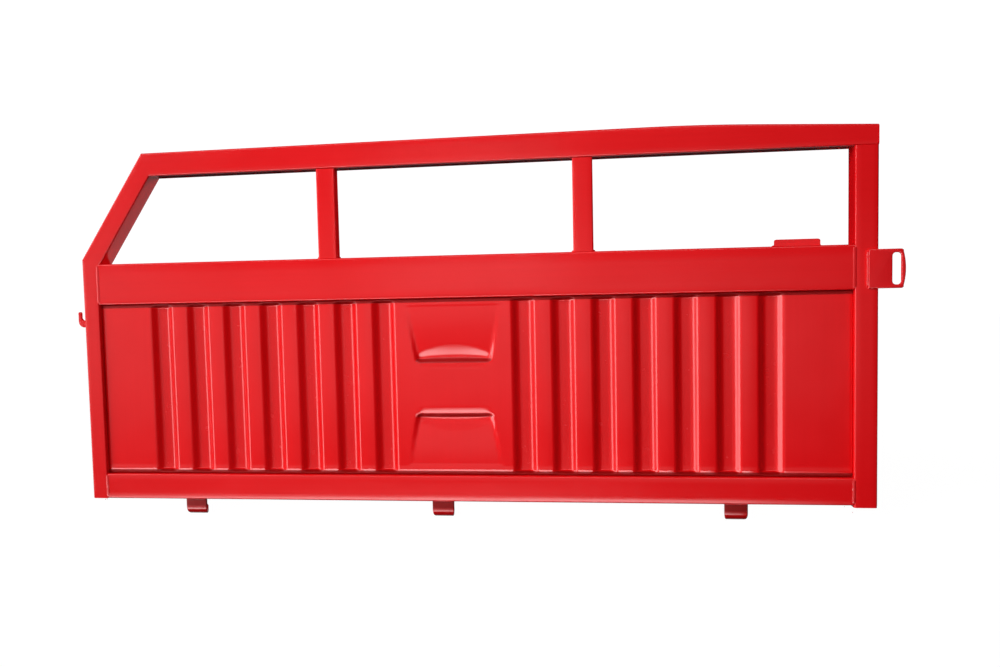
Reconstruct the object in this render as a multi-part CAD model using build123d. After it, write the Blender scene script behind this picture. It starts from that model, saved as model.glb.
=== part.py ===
from build123d import *
from math import atan2, cos, radians, sin, sqrt, tan
import os

# Hinged side board of a small livestock and cargo trailer: a welded tube frame round a pressed sheet.
# X runs along the board towards its rear end, Y from the outer face towards the load bed, Z up.
# The origin is the middle of the bottom rail's underside. Millimetres.

# Frame: overall sizes and tube sections
board_length = 1500
frame_depth = 40
tube_wall = 2
tube_corner = 4
bottom_rail_height = 50
panel_opening_height = 336.5
mid_rail_height = 80
front_upright_width = 32
rear_post_width = 40
rake_width = 37
rake_angle = 33.3
rake_start_above_rail = 9.5

# Top rail: its underside climbs a little to a knee, and its upper face falls from the knee to the rear end
window_height = 167.5
top_rail_rise = 4.5
top_rail_front_height = 44
top_rail_knee_height = 48.5
top_rail_rear_height = 36
knee_to_rear_end = 305

# Window posts between the mid rail and the top rail
window_post_width = 37
window_post_depth = 20
window_post_setback = 2
front_window_post_x = -249
rear_window_post_x = 235

# Caps on the open tube ends
foot_cap_thickness = 4
end_cap_thickness = 2

# Pressed sheet
sheet = 1.2
panel_recess = 8
panel_flange = 15
groove_depth = 9
groove_mouth = 42
groove_floor = 25
groove_pitch = 74.5
middle_groove_spacing = 267
least_flat_margin = 95
pattern_offset = -12.5
bend_radius = 3

# Two pockets pressed into the flat between the groove groups, deepest towards the sheet's middle
pocket_depth = 9
pocket_wide = 178
pocket_narrow = 144
pocket_wall_run = 11
upper_pocket_drop = 122.5
upper_pocket_length = 108
lower_pocket_rise = 119
lower_pocket_length = 100

# Hinge hooks: strips curled round the bed's hinge rod
hinge_rod_diameter = 16
hinge_rod_clearance = 1
hook_strip = 5
hook_width = 42
hook_axis_drop = 19
hook_axis_y = 2
front_hook_from_end = 213
middle_hook_x = -39
rear_hook_from_end = 244

# Hook plate on the front upright
catch_thickness = 6
catch_drop = 44.5
catch_height = 31
catch_root = 7
catch_notch = 12
catch_finger = 6
catch_notch_depth = 17
catch_corner = 12

# Slotted latch plate on the rear post
latch_thickness = 5
latch_rise = 1.5
latch_height = 69
latch_overlap = 18.5
latch_reach = 44
latch_bow = 5
latch_corner = 4
slot_width = 15
slot_height = 56
slot_rim = 7.5

# Stop bracket on the mid rail: a folded angle
bracket_length = 80
bracket_height = 13
bracket_thickness = 3
bracket_base = 18
bracket_corner = 4
bracket_gap = 53

# Weld beads
bead_width = 8
bead_height = 1.4
corner_weld = 3
stitch_count = 6
stitch_length = 22

front_face = -frame_depth / 2
rear_face = frame_depth / 2
front_end = -board_length / 2
rear_end = board_length / 2
upright_inner = front_end + front_upright_width
post_inner = rear_end - rear_post_width
mid_rail_underside = bottom_rail_height + panel_opening_height
mid_rail_top = mid_rail_underside + mid_rail_height
rake_start_height = mid_rail_top + rake_start_above_rail
top_rail_underside = mid_rail_top + window_height
top_underside_rear = top_rail_underside + top_rail_rise
knee_x = rear_end - knee_to_rear_end
rake_run = tan(radians(rake_angle))
rake_skew = rake_width / cos(radians(rake_angle))
hook_places = {"front": front_end + front_hook_from_end, "middle": middle_hook_x,
               "rear": rear_end - rear_hook_from_end}
catch_underside = mid_rail_underside - catch_drop
latch_underside = mid_rail_underside + latch_rise
bracket_x = post_inner - bracket_gap - bracket_length / 2


def prism(points, y_low=front_face, y_high=rear_face):
    """A block with the given outline in X and Z, between two depths."""
    outline = make_face(Polyline(*[(x, y_low, z) for x, z in points], close=True))
    return extrude(outline, amount=y_high - y_low, dir=(0, 1, 0))


def block(x_low, x_high, y_low, y_high, z_low, z_high):
    """An upright box between three pairs of limits."""
    centre = ((x_low + x_high) / 2, (y_low + y_high) / 2, (z_low + z_high) / 2)
    return Pos(*centre) * Box(x_high - x_low, y_high - y_low, z_high - z_low)


def tube(width, depth, length):
    """A hollow rectangular tube standing on the origin, with rounded long edges."""
    outer = extrude(RectangleRounded(width, depth, tube_corner), length)
    bore = RectangleRounded(width - 2 * tube_wall, depth - 2 * tube_wall, tube_corner - tube_wall)
    return outer - extrude(bore, length)


def rail(x_low, x_high, z_low, height):
    """A tube lying along X with its underside at z_low."""
    return Pos(x_low, 0, z_low + height / 2) * Rot(0, 90, 0) * tube(height, frame_depth, x_high - x_low)


def rake_outer_x(z):
    """The sloping post's outer edge at height z."""
    return front_end + (z - rake_start_height) * rake_run


def rake_inner_x(z):
    """The sloping post's inner edge at height z."""
    return rake_outer_x(z) + rake_skew


def top_line(x):
    """Underside and upper face of the top rail at x."""
    if x >= knee_x:
        fall = (x - knee_x) / knee_to_rear_end
        height = top_rail_knee_height + fall * (top_rail_rear_height - top_rail_knee_height)
        return top_underside_rear, top_underside_rear + height
    climb = (x - front_end) / (knee_x - front_end)
    height = top_rail_front_height + climb * (top_rail_knee_height - top_rail_front_height)
    underside = top_rail_underside + climb * top_rail_rise
    return underside, underside + height


def top_rail_block(inset):
    """The top rail's envelope, with every face moved in by inset."""
    sections = []
    for x in (front_end, knee_x, rear_end - end_cap_thickness):
        underside, upper = top_line(x)
        width, height = frame_depth - 2 * inset, upper - underside - 2 * inset
        section = RectangleRounded(width, height, tube_corner - inset)
        place = Plane(origin=(x, 0, (underside + upper) / 2), x_dir=(0, 1, 0), z_dir=(1, 0, 0))
        sections.append(place * section)
    return loft(sections, ruled=True)


def front_corner():
    """Height where the sloping post's outer edge meets the top rail's upper face."""
    height = top_rail_underside
    for _ in range(40):
        height = top_line(rake_outer_x(height))[1]
    return height


def inner_corner():
    """Height where the sloping post's inner edge meets the top rail's underside."""
    height = top_rail_underside
    for _ in range(40):
        height = top_line(rake_inner_x(height))[0]
    return height


upper_outer = front_corner()
upper_inner = inner_corner()
upright_top_inner = rake_start_height - (rake_skew - front_upright_width) / rake_run


def front_upright():
    """The vertical tube at the front end, mitred to the sloping post."""
    width = front_upright_width
    column = Pos(front_end + width / 2, 0, 0) * tube(width, frame_depth, rake_start_height + width)
    keep = [(front_end, end_cap_thickness), (upright_inner, end_cap_thickness),
            (upright_inner, upright_top_inner), (front_end, rake_start_height)]
    return column & prism(keep)


def rake_post():
    """The sloping tube, mitred at both ends and notched over the mid rail's front end."""
    overrun = 3 * rake_width
    length = (upper_outer - rake_start_height) / cos(radians(rake_angle)) + 2 * overrun
    foot = Vector(front_end, 0, rake_start_height)
    along = Vector(sin(radians(rake_angle)), 0, cos(radians(rake_angle)))
    across = Vector(cos(radians(rake_angle)), 0, -sin(radians(rake_angle)))
    place = Plane(origin=foot - along * overrun + across * (rake_width / 2), x_dir=across, z_dir=along)
    keep = [(front_end, rake_start_height), (upright_inner, upright_top_inner),
            (upright_inner, mid_rail_top), (rake_inner_x(mid_rail_top), mid_rail_top),
            (rake_inner_x(upper_inner), upper_inner), (rake_outer_x(upper_outer), upper_outer)]
    return (place * tube(rake_width, frame_depth, length)) & prism(keep)


def top_rail():
    """The long upper tube, mitred at the front and open at the rear for its cap."""
    keep = [(rake_outer_x(upper_outer), upper_outer), (rake_inner_x(upper_inner), upper_inner),
            (rear_end, upper_inner - tube_wall), (rear_end, upper_outer + top_rail_knee_height),
            (rake_outer_x(upper_outer), upper_outer + top_rail_knee_height)]
    return (top_rail_block(0) - top_rail_block(tube_wall)) & prism(keep)


def rear_post():
    """The vertical tube at the rear end, standing on its foot cap and butted under the top rail."""
    height = top_underside_rear
    return Pos(rear_end - rear_post_width / 2, 0, 0) * tube(rear_post_width, frame_depth, height)


def window_post(x):
    """A flat tube between the mid rail and the top rail, trimmed to the top rail's slope."""
    upper = top_line(x)[0] + tube_wall / 2
    centre_y = front_face + window_post_setback + window_post_depth / 2
    column = Pos(x, centre_y, mid_rail_top) * tube(window_post_width, window_post_depth, upper - mid_rail_top)
    return column - top_rail_block(0)


def rear_foot_cap():
    """The plate that closes the rear post's foot; it stands a little below the bottom rail."""
    plate = RectangleRounded(rear_post_width, frame_depth, tube_corner)
    return Pos(rear_end - rear_post_width / 2, 0, -foot_cap_thickness) * extrude(plate, foot_cap_thickness)


def front_foot_cap():
    """The plate that closes the front upright's foot, flush with the bottom rail."""
    plate = RectangleRounded(front_upright_width, frame_depth, tube_corner)
    return Pos(front_end + front_upright_width / 2, 0, 0) * extrude(plate, end_cap_thickness)


def top_end_cap():
    """The plate that closes the top rail's rear end."""
    underside, upper = top_line(rear_end - end_cap_thickness)
    plate = RectangleRounded(frame_depth, upper - underside, tube_corner)
    place = Plane(origin=(rear_end - end_cap_thickness, 0, (underside + upper) / 2),
                  x_dir=(0, 1, 0), z_dir=(1, 0, 0))
    return extrude(place * plate, end_cap_thickness)


def groove_centres():
    """The grooves' places along the board, in two groups either side of the middle flat."""
    places = []
    for side, frame_x in ((-1, upright_inner), (1, post_inner)):
        first = pattern_offset + side * middle_groove_spacing / 2
        room = abs(frame_x - first) - groove_mouth / 2 - least_flat_margin
        for step in range(int(room / groove_pitch) + 1):
            places.append(first + side * step * groove_pitch)
    return sorted(places)


def sheet_section():
    """The grooved sheet seen from above: flats and grooves of even thickness with rounded bends."""
    flat_y = front_face + panel_recess
    wall_angle = atan2(groove_depth, (groove_mouth - groove_floor) / 2)
    mitre = sheet * tan(wall_angle / 2)
    lines = []
    for back, spread in ((0, 0), (sheet, mitre)):
        line = [(upright_inner, flat_y + back)]
        for x in groove_centres():
            for side, half, depth in ((-1, groove_mouth, 0), (-1, groove_floor, groove_depth),
                                      (1, groove_floor, groove_depth), (1, groove_mouth, 0)):
                line.append((x + side * (half / 2 + spread), flat_y + depth + back))
        line.append((post_inner, flat_y + back))
        lines.append(line)
    section = make_face(Polyline(*(lines[0] + lines[1][::-1]), close=True))
    bends = ((flat_y, bend_radius + sheet), (flat_y + groove_depth, bend_radius),
             (flat_y + sheet, bend_radius), (flat_y + groove_depth + sheet, bend_radius + sheet))
    for y, radius in bends:
        corners = [v for v in section.vertices()
                   if abs(v.Y - y) < sheet / 100 and upright_inner + 1 < v.X < post_inner - 1]
        section = fillet(corners, radius)
    return section


def pocket(edge_z, flush_z, grow):
    """A wedge that is flush at flush_z and deepest by its end wall at edge_z."""
    toward_flush = 1 if flush_z > edge_z else -1
    flat_y = front_face + panel_recess
    deep_y = flat_y + pocket_depth + grow
    middle = pattern_offset
    wide = pocket_wide / 2 + grow
    narrow = pocket_narrow / 2 + grow
    floor_half = narrow - pocket_wall_run / 2
    edge = edge_z - toward_flush * grow
    floor_edge = edge + toward_flush * pocket_wall_run
    end = flush_z + toward_flush * grow
    flush_left = (middle - wide, flat_y, end)
    flush_right = (middle + wide, flat_y, end)
    edge_left = (middle - narrow, flat_y, edge)
    edge_right = (middle + narrow, flat_y, edge)
    floor_left = (middle - floor_half, deep_y, floor_edge)
    floor_right = (middle + floor_half, deep_y, floor_edge)
    sides = [
        [flush_left, flush_right, edge_right, edge_left],
        [flush_left, flush_right, floor_right, floor_left],
        [edge_left, edge_right, floor_right, floor_left],
        [flush_left, edge_left, floor_left],
        [flush_right, edge_right, floor_right],
    ]
    return Solid(Shell([Face(Wire.make_polygon(side, close=True)) for side in sides]))


def infill_panel():
    """The pressed sheet: grooves, two pockets and a flange turned back along each edge."""
    flat_y = front_face + panel_recess
    flange_y = flat_y + panel_flange
    low, high = bottom_rail_height, mid_rail_underside
    panel = extrude(Pos(0, 0, low) * sheet_section(), amount=high - low, dir=(0, 0, 1))
    panel += block(upright_inner, post_inner, flat_y, flange_y, low, low + sheet)
    panel += block(upright_inner, post_inner, flat_y, flange_y, high - sheet, high)
    panel += block(upright_inner, upright_inner + sheet, flat_y, flange_y, low, high)
    panel += block(post_inner - sheet, post_inner, flat_y, flange_y, low, high)
    upper_edge = high - upper_pocket_drop
    lower_edge = low + lower_pocket_rise
    ends = ((upper_edge, upper_edge + upper_pocket_length), (lower_edge, lower_edge - lower_pocket_length))
    for edge_z, flush_z in ends:
        panel += pocket(edge_z, flush_z, sheet)
    for edge_z, flush_z in ends:
        panel -= pocket(edge_z, flush_z, 0)
    return panel


def hinge_hook(x):
    """A strip that hangs from the bottom rail and curls back under the hinge rod."""
    bore = hinge_rod_diameter / 2 + hinge_rod_clearance
    outer = bore + hook_strip
    plane = Plane(origin=(x - hook_width / 2, 0, 0), x_dir=(0, 1, 0), z_dir=(1, 0, 0))
    leg_y = hook_axis_y - outer
    leg = Pos(leg_y + hook_strip / 2, -hook_axis_drop / 2) * Rectangle(hook_strip, hook_axis_drop)
    curl = Pos(hook_axis_y, -hook_axis_drop) * (Circle(outer) - Circle(bore))
    curl &= Pos(hook_axis_y, -hook_axis_drop - outer) * Rectangle(4 * outer, 2 * outer)
    return extrude(plane * (leg + curl), hook_width)


def front_catch():
    """The upturned hook plate on the front upright's outer side."""
    reach = catch_root + catch_notch + catch_finger
    top = catch_underside + catch_height
    outline = [(front_end, catch_underside), (front_end - reach, catch_underside),
               (front_end - reach, top), (front_end, top)]
    plate = prism(outline, -catch_thickness / 2, catch_thickness / 2)
    corner = [e for e in plate.edges().filter_by(Axis.Y) if e.center().X < front_end - reach / 2]
    plate = fillet([corner[0]] if corner[0].center().Z < top - 1 else [corner[1]], catch_corner)
    notch_x = front_end - catch_root - catch_notch / 2
    notch_z = top - catch_notch_depth + catch_notch / 2
    round_end = Pos(notch_x, 0, notch_z) * Rot(90, 0, 0) * Cylinder(catch_notch / 2, 2 * catch_thickness)
    throat = block(notch_x - catch_notch / 2, notch_x + catch_notch / 2,
                   -catch_thickness, catch_thickness, notch_z, top + 1)
    plate = plate - round_end - throat
    tip = [e for e in plate.edges().filter_by(Axis.Y)
           if e.center().X < notch_x and e.center().Z > top - 1]
    return fillet(tip, catch_finger / 3)


def latch_plate():
    """The slotted plate on the rear post's outer face; its free edge is bowed outwards."""
    x_low = rear_end - latch_overlap
    x_high = rear_end + latch_reach
    z_low = latch_underside
    z_high = latch_underside + latch_height
    bow_x = x_high - latch_bow
    y_low = front_face - latch_thickness
    edge = ThreePointArc((bow_x, y_low, z_low), (x_high, y_low, (z_low + z_high) / 2), (bow_x, y_low, z_high))
    rest = Polyline((bow_x, y_low, z_high), (x_low, y_low, z_high),
                    (x_low, y_low, z_low), (bow_x, y_low, z_low))
    plate = extrude(make_face(edge + rest), amount=latch_thickness, dir=(0, 1, 0))
    free = [e for e in plate.edges().filter_by(Axis.Y) if e.center().X > rear_end]
    plate = fillet(free, latch_corner)
    slot_x = x_high - slot_rim - slot_width / 2
    slot = SlotOverall(slot_height, slot_width, rotation=90)
    place = Plane(origin=(slot_x, y_low, (z_low + z_high) / 2), x_dir=(1, 0, 0), z_dir=(0, -1, 0))
    return plate - extrude(place * slot, amount=2 * latch_thickness, both=True)


def stop_bracket():
    """A short folded angle standing on the mid rail near its rear end."""
    base = block(bracket_x - bracket_length / 2, bracket_x + bracket_length / 2, 0, bracket_base,
                 mid_rail_top, mid_rail_top + bracket_thickness)
    wall = block(bracket_x - bracket_length / 2, bracket_x + bracket_length / 2, 0, bracket_thickness,
                 mid_rail_top, mid_rail_top + bracket_height)
    corners = [e for e in wall.edges().filter_by(Axis.Y) if e.center().Z > mid_rail_top + bracket_thickness]
    return fillet(corners, bracket_corner) + base


def bead(start, end, outward):
    """A low round-topped weld bead lying on a flat face between two points."""
    along = Vector(*end) - Vector(*start)
    out = Vector(*outward)
    place = Plane(origin=start, x_dir=out.cross(along), z_dir=along)
    arc = ThreePointArc((-bead_width / 2, 0), (0, bead_height), (bead_width / 2, 0))
    if place.y_dir.dot(out) < 0:
        arc = ThreePointArc((-bead_width / 2, 0), (0, -bead_height), (bead_width / 2, 0))
    section = make_face(arc + Line((bead_width / 2, 0), (-bead_width / 2, 0)))
    return extrude(place * section, along.length)


def fillet_weld(start, end, side_a, side_b):
    """A three-cornered weld along a line, filling the angle between two faces."""
    origin = Vector(*start)
    corner_a = origin + Vector(*side_a) * corner_weld
    corner_b = origin + Vector(*side_b) * corner_weld
    section = Face(Wire.make_polygon([origin, corner_a, corner_b], close=True))
    return extrude(section, amount=(Vector(*end) - origin).length, dir=Vector(*end) - origin)


def front_bead(x_low, z_low, x_high, z_high):
    """A bead on the frame's outer face."""
    return bead((x_low, front_face, z_low), (x_high, front_face, z_high), (0, -1, 0))


def back_bead(x_low, z_low, x_high, z_high):
    """A bead on the frame's inner face, opposite a front one."""
    return bead((x_low, rear_face, z_low), (x_high, rear_face, z_high), (0, 1, 0))


def short_of(x_low, z_low, x_high, z_high, gap):
    """The two ends of a seam, each moved in by gap along it."""
    run = sqrt((x_high - x_low) ** 2 + (z_high - z_low) ** 2)
    step_x = (x_high - x_low) * gap / run
    step_z = (z_high - z_low) * gap / run
    return x_low + step_x, z_low + step_z, x_high - step_x, z_high - step_z


def seams(joints, faces, gap=tube_corner):
    """Beads along the given joints, stopping short of their ends by gap, on the named faces."""
    beads = []
    for joint in joints:
        ends = short_of(*joint, gap)
        for face in faces:
            beads.append(front_bead(*ends) if face == "outer" else back_bead(*ends))
    return Compound(beads)


def rail_end_joints(z_low, z_high):
    """The upright joints at the two ends of a rail that fits between the posts."""
    return [(upright_inner, z_low, upright_inner, z_high), (post_inner, z_low, post_inner, z_high)]


def mitre_joints():
    """The sloping post's two mitres."""
    lower = (front_end, rake_start_height, upright_inner, upright_top_inner)
    upper = (rake_outer_x(upper_outer), upper_outer, rake_inner_x(upper_inner), upper_inner)
    return [lower, upper]


def window_post_welds():
    """Short welds at both sides of each window post's foot."""
    welds = []
    y_low = front_face + window_post_setback + tube_corner
    y_high = front_face + window_post_setback + window_post_depth - tube_corner
    for x in (front_window_post_x, rear_window_post_x):
        for side in (-1, 1):
            edge = x + side * window_post_width / 2
            welds.append(fillet_weld((edge, y_low, mid_rail_top), (edge, y_high, mid_rail_top),
                                     (side, 0, 0), (0, 0, 1)))
    return Compound(welds)


def hinge_hook_welds():
    """Welds before and behind each hook's leg, under the bottom rail."""
    welds = []
    leg_front = hook_axis_y - hinge_rod_diameter / 2 - hinge_rod_clearance - hook_strip
    for x in hook_places.values():
        for side, y in ((-1, leg_front), (1, leg_front + hook_strip)):
            welds.append(fillet_weld((x - hook_width / 2, y, 0), (x + hook_width / 2, y, 0),
                                     (0, side, 0), (0, 0, -1)))
    return Compound(welds)


def latch_plate_weld():
    """The weld down the latch plate's inner edge."""
    x = rear_end - latch_overlap
    low = latch_underside + corner_weld
    high = latch_underside + latch_height - corner_weld
    return fillet_weld((x, front_face, low), (x, front_face, high), (-1, 0, 0), (0, -1, 0))


def front_catch_welds():
    """Welds down both sides of the hook plate's root."""
    welds = []
    low, high = catch_underside + corner_weld, catch_underside + catch_height - corner_weld
    for side in (-1, 1):
        y = side * catch_thickness / 2
        welds.append(fillet_weld((front_end, y, low), (front_end, y, high), (0, side, 0), (-1, 0, 0)))
    return Compound(welds)


def stop_bracket_welds():
    """Welds at both ends of the stop bracket's base."""
    welds = []
    for side in (-1, 1):
        x = bracket_x + side * bracket_length / 2
        welds.append(fillet_weld((x, bracket_thickness, mid_rail_top),
                                 (x, bracket_base - tube_wall - tube_corner, mid_rail_top),
                                 (side, 0, 0), (0, 0, 1)))
    return Compound(welds)


def panel_stitch_welds():
    """Short welds that hold the sheet's long flanges to the rails."""
    flange_y = front_face + panel_recess + panel_flange
    span = post_inner - upright_inner
    welds = []
    for step in range(stitch_count):
        x = upright_inner + span * (step + 0.5) / stitch_count
        x_low, x_high = x - stitch_length / 2, x + stitch_length / 2
        for z, side in ((bottom_rail_height, 1), (mid_rail_underside, -1)):
            welds.append(fillet_weld((x_low, flange_y, z), (x_high, flange_y, z), (0, 1, 0), (0, 0, side)))
    return Compound(welds)


rail_low, rail_high = upright_inner, post_inner
nodes = {
    "bottom_rail": rail(rail_low, rail_high, 0, bottom_rail_height),
    "mid_rail": rail(rail_low, rail_high, mid_rail_underside, mid_rail_height),
    "top_rail": top_rail(),
    "front_upright": front_upright(),
    "rake_post": rake_post(),
    "rear_post": rear_post(),
    "front_window_post": window_post(front_window_post_x),
    "rear_window_post": window_post(rear_window_post_x),
    "front_foot_cap": front_foot_cap(),
    "rear_foot_cap": rear_foot_cap(),
    "top_rail_end_cap": top_end_cap(),
    "infill_panel": infill_panel(),
    "front_catch": front_catch(),
    "latch_plate": latch_plate(),
    "stop_bracket": stop_bracket(),
    "bottom_rail_welds": seams(rail_end_joints(0, bottom_rail_height), ("outer", "inner")),
    "mid_rail_welds": seams(rail_end_joints(mid_rail_underside, mid_rail_top), ("outer", "inner")),
    "rake_post_welds": seams(mitre_joints(), ("inner",), bead_width),
    "top_rail_weld": seams([(post_inner, top_underside_rear, rear_end, top_underside_rear)], ("inner",)),
    "window_post_welds": window_post_welds(),
    "hinge_hook_welds": hinge_hook_welds(),
    "latch_plate_weld": latch_plate_weld(),
    "front_catch_welds": front_catch_welds(),
    "stop_bracket_welds": stop_bracket_welds(),
    "panel_stitch_welds": panel_stitch_welds(),
}
for place, x in hook_places.items():
    nodes[f"hinge_hook_{place}"] = hinge_hook(x)

os.makedirs("parts", exist_ok=True)
for name, shape in nodes.items():
    export_step(shape, f"parts/{name}.step")
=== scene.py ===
import math

import bmesh
import bpy
from mathutils import Matrix, Vector, noise


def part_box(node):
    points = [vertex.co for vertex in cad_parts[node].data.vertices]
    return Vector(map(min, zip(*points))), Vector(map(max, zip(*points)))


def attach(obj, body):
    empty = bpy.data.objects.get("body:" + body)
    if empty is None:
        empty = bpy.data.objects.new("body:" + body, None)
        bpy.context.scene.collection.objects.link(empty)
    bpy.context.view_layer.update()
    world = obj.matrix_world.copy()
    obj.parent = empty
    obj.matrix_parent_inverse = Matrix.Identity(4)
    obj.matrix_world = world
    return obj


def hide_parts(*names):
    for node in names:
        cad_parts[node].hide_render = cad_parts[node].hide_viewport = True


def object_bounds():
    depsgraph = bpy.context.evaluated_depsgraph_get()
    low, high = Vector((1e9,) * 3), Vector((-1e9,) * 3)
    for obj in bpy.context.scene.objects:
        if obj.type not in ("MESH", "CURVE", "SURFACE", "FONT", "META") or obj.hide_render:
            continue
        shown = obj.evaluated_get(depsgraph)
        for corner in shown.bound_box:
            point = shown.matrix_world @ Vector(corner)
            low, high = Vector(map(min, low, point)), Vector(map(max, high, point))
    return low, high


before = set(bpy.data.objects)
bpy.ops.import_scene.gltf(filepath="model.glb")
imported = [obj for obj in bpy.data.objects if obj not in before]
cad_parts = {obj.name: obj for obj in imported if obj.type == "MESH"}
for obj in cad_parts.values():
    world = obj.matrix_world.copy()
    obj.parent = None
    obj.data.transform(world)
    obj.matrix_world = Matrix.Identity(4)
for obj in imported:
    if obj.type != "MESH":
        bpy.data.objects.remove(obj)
cad_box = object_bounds()

# ---------------------------------------------------------------------------------------------
# Bottom rail. A rectangular steel tube, cold rolled and seam welded, sawn square and set between
# the two end uprights. It carries the hinge hooks. Painted with the whole board in glossy red enamel.

MM = 0.001
FRAME_RED = (0.76, 0.0040, 0.0062, 1)
FRAME_RED_THIN = (0.80, 0.0062, 0.0095, 1)
FRAME_RED_DEEP = (0.64, 0.0026, 0.0036, 1)
# Painted shade: this dark red is mixed into a surface's colour where shade falls, in recesses and under the
# rails.
PAINTED_SHADE_RED = (0.16, 0.0006, 0.0006, 1)


class Wire:
    """A shader socket that can be used in sums, so that a finish is written as arithmetic."""

    def __init__(self, tree, socket):
        self.tree, self.socket = tree, socket

    def node(self, kind, settings, sockets, output=0):
        """A new node of this kind: its settings first, then the values or wires of its sockets."""
        made = self.tree.nodes.new(kind)
        for key, value in settings.items():
            setattr(made, key, value)
        for key, value in sockets.items():
            if isinstance(value, Wire):
                self.tree.links.new(value.socket, made.inputs[key])
            else:
                made.inputs[key].default_value = value
        return Wire(self.tree, made.outputs[output])

    def maths(self, operation, *others):
        return self.node("ShaderNodeMath", {"operation": operation}, dict(enumerate((self, *others))))

    def __add__(self, other):
        return self.maths("ADD", other)

    __radd__ = __add__

    def __mul__(self, other):
        return self.maths("MULTIPLY", other)

    __rmul__ = __mul__

    def __sub__(self, other):
        return self.maths("SUBTRACT", other)

    def __rsub__(self, other):
        return self.maths("MULTIPLY_ADD", -1, other)

    def between(self, low, high):
        """0 below low, 1 above high, and a soft step from one to the other."""
        return self.node("ShaderNodeMapRange", {"interpolation_type": "SMOOTHSTEP"},
                         {"Value": self, "From Min": low, "From Max": high})

    def stretched(self, scale):
        """A place scaled along each axis."""
        return self.node("ShaderNodeVectorMath", {"operation": "MULTIPLY"}, {0: self, 1: scale})

    def cloud(self, scale, detail=2, rough=0.5):
        """Soft noise from 0 to 1 at this place, with features about 1 / scale metres across."""
        return self.node("ShaderNodeTexNoise", {},
                         {"Vector": self, "Scale": scale, "Detail": detail, "Roughness": rough})

    def mixed(self, first, second):
        """The first colour where this is 0, and the second where it is 1."""
        return self.node("ShaderNodeMix", {"data_type": "RGBA"}, {0: self, 6: first, 7: second}, output=2)


def enamel(name, colours, grain, peel=0.10, shine=0.17, coarse=0.0, with_painted_shade=False):
    """Glossy enamel sprayed on steel: thin and deep patches, the metal's grain, and orange peel.
    Where the mesh's own attribute asks for painted shade, the colour is darkened as painted shade
    for the shadow in recesses and under the rails, and the paint is duller there."""
    material = bpy.data.materials.new(name)
    material.use_nodes = True
    tree = material.node_tree
    shader = tree.nodes["Principled BSDF"]
    start = Wire(tree, shader.inputs["Base Color"])
    place = start.node("ShaderNodeTexCoord", {}, {}, output=3)
    facing = start.node("ShaderNodeNewGeometry", {}, {}, output=1)
    patches = place.cloud(5.5, 3).between(0.30, 0.72)
    streaks = place.stretched(grain).cloud(1, 4, 0.6)
    settled = facing.node("ShaderNodeSeparateXYZ", {}, {0: facing}, output=2)
    thin, body, deep = colours
    colour = patches.mixed(body, thin)
    colour = (0.16 + 0.34 * (streaks - 0.5)).mixed(colour, deep)
    colour = (settled.between(0.2, 1.0) * 0.25).mixed(colour, body)
    dulling = place.cloud(38, 3, 0.65).between(0.35, 0.85)
    specks = place.cloud(520, 1).between(0.70, 0.78)
    roughness = shine + 0.07 * dulling + 0.02 * specks + coarse * place.cloud(900, 2)
    shader.inputs["Coat Weight"].default_value = 0.55
    # Painted shade: where the mesh's attribute is set, the colour is mixed towards the dark red, and the
    # paint is duller.
    if with_painted_shade:
        painted_shade = start.node("ShaderNodeAttribute", {"attribute_name": "painted_shade"}, {}, output=2)
        colour = painted_shade.mixed(colour, PAINTED_SHADE_RED)
        roughness = roughness + 0.5 * painted_shade
        tree.links.new((0.55 - 0.52 * painted_shade).socket, shader.inputs["Coat Weight"])
    tree.links.new(colour.socket, shader.inputs["Base Color"])
    tree.links.new(roughness.socket, shader.inputs["Roughness"])
    ripple = place.cloud(330, 2, 0.55)
    waves = place.cloud(24, 1)
    height = ripple * peel + waves * 0.9 + streaks * 0.16 + specks * 0.08
    bump = place.node("ShaderNodeBump", {}, {"Strength": 0.5, "Distance": 0.00011, "Height": height})
    tree.links.new(bump.socket, shader.inputs["Normal"])
    shader.inputs["IOR"].default_value = 1.5
    shader.inputs["Coat Roughness"].default_value = 0.045
    shader.inputs["Coat IOR"].default_value = 1.5
    return material


def skin(mesh, rings):
    """Adds a closed skin through rings of points, with a flat face at each end."""
    rows = [[mesh.verts.new(point) for point in ring] for ring in rings]
    count = len(rows[0])
    for low, high in zip(rows, rows[1:]):
        for i in range(count):
            mesh.faces.new((low[i], low[(i + 1) % count], high[(i + 1) % count], high[i]))
    mesh.faces.new(rows[0][::-1])
    mesh.faces.new(rows[-1])


def piece(name, mesh, material, replaced, crease=38):
    """Turns a finished mesh into a piece that rides on the board and stands for its CAD nodes."""
    bmesh.ops.recalc_face_normals(mesh, faces=mesh.faces)
    data = bpy.data.meshes.new(name)
    mesh.to_mesh(data)
    mesh.free()
    data.shade_smooth()
    data.set_sharp_from_angle(angle=math.radians(crease))
    data.materials.append(material)
    made = bpy.data.objects.new(name, data)
    bpy.context.scene.collection.objects.link(made)
    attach(made, "root")
    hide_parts(*replaced)
    return made


def rounded_section(width, depth, corner, flats=4, turns=5):
    """Points round a rounded rectangle, as shares of its width and as distances through its depth."""
    points = []
    for quarter, (cx, cy) in enumerate(((width - corner, depth - corner), (corner, depth - corner),
                                        (corner, corner), (width - corner, corner))):
        for i in range(turns + 1):
            angle = math.radians(90 * quarter + 90 * i / turns)
            points.append((cx + corner * math.cos(angle), cy + corner * math.sin(angle)))
    whole = []
    for i, point in enumerate(points):
        whole.append(point)
        if i % (turns + 1) == turns:
            after = points[(i + 1) % len(points)]
            for step in range(1, flats):
                share = step / flats
                whole.append((point[0] + (after[0] - point[0]) * share,
                              point[1] + (after[1] - point[1]) * share))
    return [(across / width, through) for across, through in whole]


ring_step = 18 * MM
wall_sway = 0.10 * MM


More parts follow.
